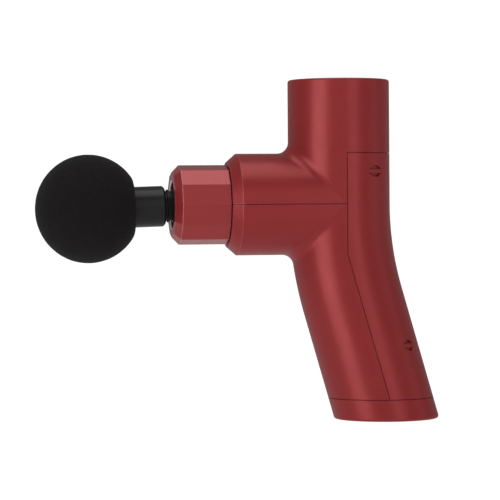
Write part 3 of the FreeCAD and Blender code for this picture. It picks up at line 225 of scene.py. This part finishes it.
def satin_red():
    """Satin metallic lacquer: soft cloudiness, fine flake and a faint orange peel under a thin clear coat."""
    shader = Shader("satin_red_lacquer", Metallic=0.35, Specular_IOR_Level=0.3, Coat_Weight=0.14,
                    Coat_Roughness=0.25)
    # the painted edge highlight is kept to the housing's front cone
    cone_highlight_zone = shader.maths("LESS_THAN", shader.about_barrel()[1], BARREL_LOW.x + CONE_LENGTH)
    cloud = shader.noise(18 * MM, 4)
    # the pale (0.55, 0.20, 0.20) colour is a painted highlight along hard edges
    shade, rounded = lacquer(shader, cloud, (0.240, 0.0155, 0.0175), (0.278, 0.0190, 0.0210),
                             (0.46, 0.07, 0.07), (0.55, 0.20, 0.20), 0.16 * MM, cone_highlight_zone)
    shader.colour(shade)
    shader.roughness(shader.ramp(shader.noise(7 * MM, 3), 0.32, 0.40, 0.3, 0.7))
    shader.bump((shader.noise(0.9 * MM, 2), 0.004 * MM), (shader.noise(0.12 * MM, 1), 0.0014 * MM),
                normal=rounded)
    return shader.material


def gloss_red():
    """The collar's smoother lacquer, cut back to bright metal on the bevel round its bore."""
    shader = Shader("gloss_red_lacquer", Metallic=0.40, Coat_Weight=0.35, Coat_Roughness=0.12)
    # the pale (0.66, 0.34, 0.34) colour is a painted highlight along the collar's hard edges
    shade, rounded = lacquer(shader, shader.noise(14 * MM, 4), (0.285, 0.018, 0.020), (0.325, 0.022, 0.024),
                             (0.50, 0.07, 0.07), (0.66, 0.34, 0.34), 0.14 * MM)
    radius, along = shader.about_barrel()
    inside = shader.maths("LESS_THAN", radius, RIM_RADIUS)
    in_front = shader.maths("LESS_THAN", along, NOSE_LOW.x + RIM_DEPTH)
    rim = shader.maths("MULTIPLY", inside, in_front)
    shader.colour(shader.mix(rim, shade, (0.92, 0.86, 0.86)))
    turning = shader.ramp(shader.noise(0.2 * MM, 2), 0.36, 0.50)
    plain = shader.ramp(shader.noise(5 * MM, 3), 0.20, 0.27, 0.3, 0.7)
    shader.roughness(shader.mix(rim, plain, turning))
    shader.bump((shader.noise(1.1 * MM, 2), 0.003 * MM), normal=rounded)
    return shader.material


def foam_black():
    """Closed-cell foam: near black, dusty at grazing angles, pitted all over, with painted shade darkening
    the pits.
    """
    shader = Shader("black_foam", Sheen_Weight=0.02, Sheen_Roughness=0.5, Specular_IOR_Level=0.13)
    pits = shader.cells(0.55 * MM)
    shade = shader.mix(shader.noise(6 * MM, 5, 0.65), (0.0052, 0.0042, 0.0044), (0.0092, 0.0074, 0.0078))
    # painted shade: the pits are darkened towards (0.0025, 0.0022, 0.0022)
    shader.colour(shader.mix(shader.ramp(pits, 0.5, 0.0, 0.0, 0.5), shade, (0.0025, 0.0022, 0.0022)))
    shader.roughness(shader.ramp(shader.noise(1.6 * MM, 3), 0.78, 0.95))
    shader.bump((shader.noise(2.4 * MM, 4, 0.6), 0.10 * MM), (pits, 0.06 * MM))
    return shader.material


def moulded(name, dark, light, rough=(0.42, 0.55), grain=0.22, depth=0.006, **sockets):
    """Moulded plastic with a fine spark-eroded grain."""
    shader = Shader(name, **sockets)
    shader.colour(shader.mix(shader.noise(5 * MM, 4), dark, light))
    shader.roughness(shader.ramp(shader.noise(grain * 4 * MM, 3), *rough))
    shader.bump((shader.noise(grain * MM, 2), depth * MM))
    return shader.material


def rubber():
    shader = Shader("black_rubber", Specular_IOR_Level=0.25)
    shader.colour(shader.mix(shader.noise(3 * MM, 4), (0.004, 0.004, 0.0045), (0.008, 0.008, 0.0085)))
    shader.roughness(shader.ramp(shader.noise(1.2 * MM, 3), 0.28, 0.42))
    shader.bump((shader.noise(0.35 * MM, 3), 0.008 * MM))
    return shader.material


def panel_gloss():
    """Black acrylic panel with the faintest haze of wiping marks."""
    shader = Shader("gloss_panel", Coat_Weight=0.5, Coat_Roughness=0.04)
    haze = shader.noise(4 * MM, 5, 0.6, stretch=(1, 4, 1))
    shader.colour(shader.mix(haze, (0.005, 0.005, 0.006), (0.010, 0.010, 0.011)))
    shader.roughness(shader.ramp(haze, 0.06, 0.16, 0.3, 0.8))
    shader.bump((shader.noise(9 * MM, 2), 0.004 * MM))
    return shader.material


def metal(name, dark, light, rough, stretch=None, grain=0.25, depth=0.002):
    """Bare or plated metal, brushed along a stretch or left isotropic."""
    shader = Shader(name, Metallic=1.0)
    marks = shader.noise(grain * MM, 4, 0.6, stretch)
    shader.colour(shader.mix(marks, dark, light))
    shader.roughness(shader.ramp(marks, *rough))
    shader.bump((marks, depth * MM))
    return shader.material


def laminated():
    """Stator stack: thin lacquered sheets seen on edge."""
    shader = Shader("stator_sheets", Metallic=0.8)
    sheets = shader.bands(0.35 * MM)
    shader.colour(shader.mix(sheets, (0.10, 0.10, 0.11), (0.30, 0.30, 0.31)))
    shader.roughness(shader.ramp(shader.noise(1 * MM), 0.35, 0.55))
    shader.bump((sheets, 0.02 * MM))
    return shader.material


def wound_copper():
    """Enamelled copper wire laid in close turns."""
    shader = Shader("copper_windings", Metallic=0.9, Coat_Weight=0.5, Coat_Roughness=0.15)
    turns = shader.bands(0.45 * MM, distortion=0.6)
    shader.colour(shader.mix(turns, (0.16, 0.045, 0.015), (0.55, 0.20, 0.07)))
    shader.roughness(shader.ramp(shader.noise(1 * MM), 0.25, 0.4))
    shader.bump((turns, 0.08 * MM))
    return shader.material


def circuit_green():
    """Solder mask over copper tracks."""
    shader = Shader("circuit_board", Coat_Weight=0.3, Coat_Roughness=0.2)
    tracks = shader.ramp(shader.cells(2.2 * MM, "DISTANCE_TO_EDGE"), 1.0, 0.0, 0.04, 0.09)
    shader.colour(shader.mix(tracks, (0.010, 0.085, 0.030), (0.025, 0.17, 0.055)))
    shader.roughness(shader.ramp(shader.noise(2 * MM), 0.3, 0.42))
    shader.bump((tracks, 0.02 * MM))
    return shader.material


def light_guide():
    """Frosted clear light guides."""
    shader = Shader("light_guide", Transmission_Weight=0.35, IOR=1.49)
    frost = shader.noise(0.4 * MM, 3)
    shader.colour(shader.mix(frost, (0.62, 0.66, 0.70), (0.80, 0.83, 0.86)))
    shader.roughness(shader.ramp(frost, 0.22, 0.38))
    shader.bump((frost, 0.004 * MM))
    return shader.material


def cell_wrap():
    """Shrink sleeve of the battery cells, slightly wrinkled at its ends."""
    shader = Shader("cell_sleeve", Coat_Weight=0.4, Coat_Roughness=0.12)
    shader.colour(shader.mix(shader.noise(8 * MM), (0.012, 0.075, 0.20), (0.020, 0.110, 0.27)))
    wrinkles = shader.noise(3 * MM, 3, 0.5, stretch=(1, 1, 4))
    shader.roughness(shader.ramp(wrinkles, 0.22, 0.36))
    shader.bump((wrinkles, 0.05 * MM))
    return shader.material


def paint_cad_nodes():
    """Give every frame node the finish of its material slot."""
    steel_dark, steel_light = (0.42, 0.42, 0.43), (0.60, 0.60, 0.61)
    finishes = {
        "body_red": satin_red(),
        "nose_red": gloss_red(),
        "foam_black": foam_black(),
        "stem_grey": moulded("stem_plastic", (0.007, 0.0065, 0.0065), (0.012, 0.0115, 0.0115), (0.27, 0.35),
                             Specular_IOR_Level=0.3),
        "rubber_black": rubber(),
        "panel_black": panel_gloss(),
        "button_black": moulded("button_plastic", (0.010, 0.010, 0.011), (0.018, 0.018, 0.019), (0.38, 0.5)),
        "light_pipe": light_guide(),
        "moulded_black": moulded("black_plastic", (0.012, 0.012, 0.013), (0.022, 0.022, 0.023), (0.5, 0.65)),
        "steel": metal("machined_steel", steel_dark, steel_light, (0.24, 0.38), (1, 1, 6)),
        "bearing_steel": metal("ground_steel", (0.52, 0.52, 0.53), (0.68, 0.68, 0.69), (0.12, 0.22)),
        "cast_alloy": metal("cast_alloy", (0.40, 0.41, 0.42), (0.58, 0.59, 0.60), (0.38, 0.56), grain=0.6,
                            depth=0.012),
        "bush_plastic": moulded("bush_plastic", (0.50, 0.47, 0.39), (0.62, 0.59, 0.51)),
        "stator_steel": laminated(),
        "winding_enamel": wound_copper(),
        "magnet_plating": metal("nickel_plate", (0.38, 0.37, 0.35), (0.56, 0.55, 0.52), (0.16, 0.28),
                                grain=0.8),
        "circuit_green": circuit_green(),
        "chip_white": moulded("cream_plastic", (0.55, 0.53, 0.46), (0.68, 0.66, 0.60), (0.25, 0.35)),
        "cell_wrap": cell_wrap(),
        "pad_foam": moulded("pad_foam", (0.03, 0.03, 0.031), (0.055, 0.055, 0.056), (0.85, 0.95), 0.7, 0.08),
        "contact_brass": metal("contact_brass", (0.50, 0.33, 0.10), (0.70, 0.50, 0.20), (0.14, 0.26)),
        "wire_red": moulded("red_insulation", (0.28, 0.010, 0.010), (0.36, 0.016, 0.016), (0.3, 0.42)),
        "wire_black": moulded("black_insulation", (0.010, 0.010, 0.010), (0.018, 0.018, 0.018), (0.3, 0.42)),
    }
    for part in frame["record"]["subparts"]:
        mesh = nodes[part["node"]].data
        mesh.materials.clear()
        mesh.materials.append(finishes[part["material_slot"]])
    return finishes


# ---------------------------------------------------------------- pieces


def new_object(name, mesh):
    thing = bpy.data.objects.new(name, mesh)
    bpy.context.scene.collection.objects.link(thing)
    return thing


def finished(name, form, finish, body, smooth=True):
    """Make a piece from its form, with its finish, riding on a body."""
    for face in form.faces:
        face.smooth = smooth
    mesh = bpy.data.meshes.new(name)
    form.to_mesh(mesh)
    form.free()
    mesh.materials.append(finish)
    thing = new_object(name, mesh)
    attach(thing, body)
    return thing


def foam_ball(finish):
    """The ball as foam: a fine drooping ellipsoid with a flat at the stem and a softly uneven skin."""
    skin, sunk = 0.05 * MM, 0.6
    swell, ripple = (9, 0.05 * MM), (42, 0.03 * MM)
    half_z = (BALL_HIGH.z - BALL_LOW.z) / 2 - skin
    half_x = half_z * BALL_FLATTENING
    centre = Vector((BALL_LOW.x + skin + half_x, 0, (BALL_LOW.z + BALL_HIGH.z) / 2))
    droop = Matrix.Rotation(-HEAD_DROOP, 3, "Y")
    form = bmesh.new()
    bmesh.ops.create_icosphere(form, subdivisions=7, radius=1)
    for vertex in form.verts:
        unit = vertex.co.normalized()
        dent = sum(height * (noise.noise(unit * pitch) - sunk) for pitch, height in (swell, ripple))
        spot = Vector((unit.x * half_x, unit.y * half_z, unit.z * half_z)) + unit * dent
        spot.x = BALL_FLAT - SOFT_EDGE * math.log1p(math.exp((BALL_FLAT - spot.x) / SOFT_EDGE))
        vertex.co = centre + droop @ spot
    ball = finished("foam_ball", form, finish, "massage_head")
    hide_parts("massage_ball")


def power_mark(finish):
    """A printed ring with a gap and a bar across the gap, lying in the button's shallow dish."""
    radius, width, gap = 1.9 * MM, 0.42 * MM, math.radians(38)
    thick, button_rim = 0.05 * MM, 1.7 * MM
    ring_steps, bar_steps = 48, 6
    dish_edge = (BUTTON_HIGH.x - BUTTON_LOW.x) / 2 - button_rim

    def lift(distance):
        return BUTTON_HIGH.z - DISH_DEPTH * (1 - distance / dish_edge) + thick

    form = bmesh.new()
    rows = []
    for step in range(ring_steps + 1):
        angle = math.pi + gap + (2 * math.pi - 2 * gap) * step / ring_steps
        rows.append([
            form.verts.new((TUBE_X + reach * math.cos(angle), reach * math.sin(angle), lift(reach)))
            for reach in (radius - width / 2, radius + width / 2)
        ])
    bar_start, bar_end = -radius * 0.25, -radius * 1.35
    for step in range(bar_steps + 1):
        x = bar_start + (bar_end - bar_start) * step / bar_steps
        rows.append([form.verts.new((TUBE_X + x, y, lift(abs(x)))) for y in (width / 2, -width / 2)])
    for index, (near, far) in enumerate(zip(rows, rows[1:])):
        if index != ring_steps:
            form.faces.new((near[0], near[1], far[1], far[0]))
    form.normal_update()
    top = list(form.faces)
    down = bmesh.ops.extrude_face_region(form, geom=top)["geom"]
    for vertex in (item for item in down if isinstance(item, bmesh.types.BMVert)):
        vertex.co.z -= thick * 1.6
    bmesh.ops.recalc_face_normals(form, faces=form.faces)
    finished("power_mark", form, finish, "power_button", smooth=False)


# ---------------------------------------------------------------- stage, light and camera


def stage():
    """A white sweep just under the base: floor, a wide curve and a wall, in one sheet."""
    floor_front, wall_back, curve, high, wide = -1.6, 2.2, 0.9, 2.6, 3.2
    profile = [(floor_front, 0.0), (wall_back - curve, 0.0)]
    steps = 24
    for step in range(1, steps + 1):
        angle = step / steps * math.pi / 2
        profile.append((wall_back - curve + curve * math.sin(angle), curve * (1 - math.cos(angle))))
    profile.append((wall_back, high))
    form = bmesh.new()
    rows = [[form.verts.new((x, y, z - FLOOR_GAP)) for x in (-wide, wide)] for y, z in profile]
    for near, far in zip(rows, rows[1:]):
        form.faces.new((near[0], near[1], far[1], far[0])).smooth = True
    mesh = bpy.data.meshes.new("sweep")
    form.to_mesh(mesh)
    form.free()
    shader = Shader("white_sweep", Emission_Color=(1, 1, 1, 1), Emission_Strength=0.94)
    shader.colour(shader.mix(shader.noise(0.4, 2), (0.18, 0.18, 0.18), (0.20, 0.20, 0.20)))
    shader.roughness(shader.ramp(shader.noise(0.1, 2), 0.85, 0.95))
    mesh.materials.append(shader.material)
    sweep = new_object("sweep", mesh)
    sweep.visible_glossy = False


def softbox(name, direction, size, radiance):
    """A soft light aimed at the grip from a direction: degrees to the viewer's right, and degrees up."""
    aside, up = (math.radians(angle) for angle in direction)
    towards = Vector((math.sin(aside) * math.cos(up), -math.cos(aside) * math.cos(up), math.sin(up)))
    data = bpy.data.lights.new(name, "AREA")
    data.shape = "RECTANGLE"
    data.size, data.size_y = size
    data.energy = radiance * math.pi * size[0] * size[1]
    light = new_object(name, data)
    light.location = LIGHT_TARGET + towards * LIGHT_DISTANCE
    light.rotation_euler = (-towards).to_track_quat("-Z", "Y").to_euler()


def lights():
    """A white backdrop, a dim room that is lighter below, and five soft sources, strongest at the left."""
    world = bpy.data.worlds.new("room")
    world.use_nodes = True
    tree = world.node_tree
    background = tree.nodes["Background"]
    background.inputs["Color"].default_value = (1, 1, 1, 1)
    seen = tree.nodes.new("ShaderNodeMapRange")
    below = tree.nodes.new("ShaderNodeMapRange")
    for name, number in (("From Min", -0.45), ("From Max", 0.0), ("To Min", 0.5), ("To Max", 0.22)):
        below.inputs[name].default_value = number
    height = tree.nodes.new("ShaderNodeSeparateXYZ")
    tree.links.new(tree.nodes.new("ShaderNodeTexCoord").outputs["Generated"], height.inputs["Vector"])
    tree.links.new(height.outputs["Z"], below.inputs["Value"])
    tree.links.new(below.outputs["Result"], seen.inputs["To Min"])
    seen.inputs["To Max"].default_value = 1.0
    tree.links.new(tree.nodes.new("ShaderNodeLightPath").outputs["Is Camera Ray"], seen.inputs["Value"])
    tree.links.new(seen.outputs["Result"], background.inputs["Strength"])
    bpy.context.scene.world = world
    softbox("key", (-54, 6), (0.8, 1.6), 2.45)
    softbox("fill", (24, 5), (0.45, 1.4), 1.1)
    softbox("side", (75, 5), (0.6, 1.4), 0.28)
    softbox("front", (-5, 20), (1.0, 0.9), 0.38)
    softbox("overhead", (0, 85), (1.5, 1.0), 1.6)
    bpy.context.scene.view_settings.view_transform = "Standard"


def camera():
    """A long lens level with the barrel, turned a little towards the nose."""
    azimuth, pitch, roll = math.radians(-9.03), math.radians(-0.98), math.radians(0.42)
    distance, aside, drop = 1.24, 44.39 * MM, 1.4 * MM
    forward = Vector((-math.sin(azimuth), math.cos(azimuth), 0))
    right = Vector((math.cos(azimuth), math.sin(azimuth), 0))
    data = bpy.data.cameras.new("camera")
    data.sensor_width = 36
    data.lens = 179.5
    data.clip_start = 0.05
    eye = new_object("camera", data)
    eye.location = Vector((TUBE_X, 0, BARREL_Z - drop)) - right * aside - forward * distance
    aim = forward * math.cos(pitch) + Vector((0, 0, math.sin(pitch)))
    eye.rotation_euler = aim.to_track_quat("-Z", "Y").to_euler()
    eye.rotation_euler.rotate_axis("Z", -roll)
    bpy.context.scene.camera = eye


finishes = paint_cad_nodes()
foam_ball(finishes["foam_black"])
power_mark(finishes["light_pipe"])
stage()
lights()
camera()
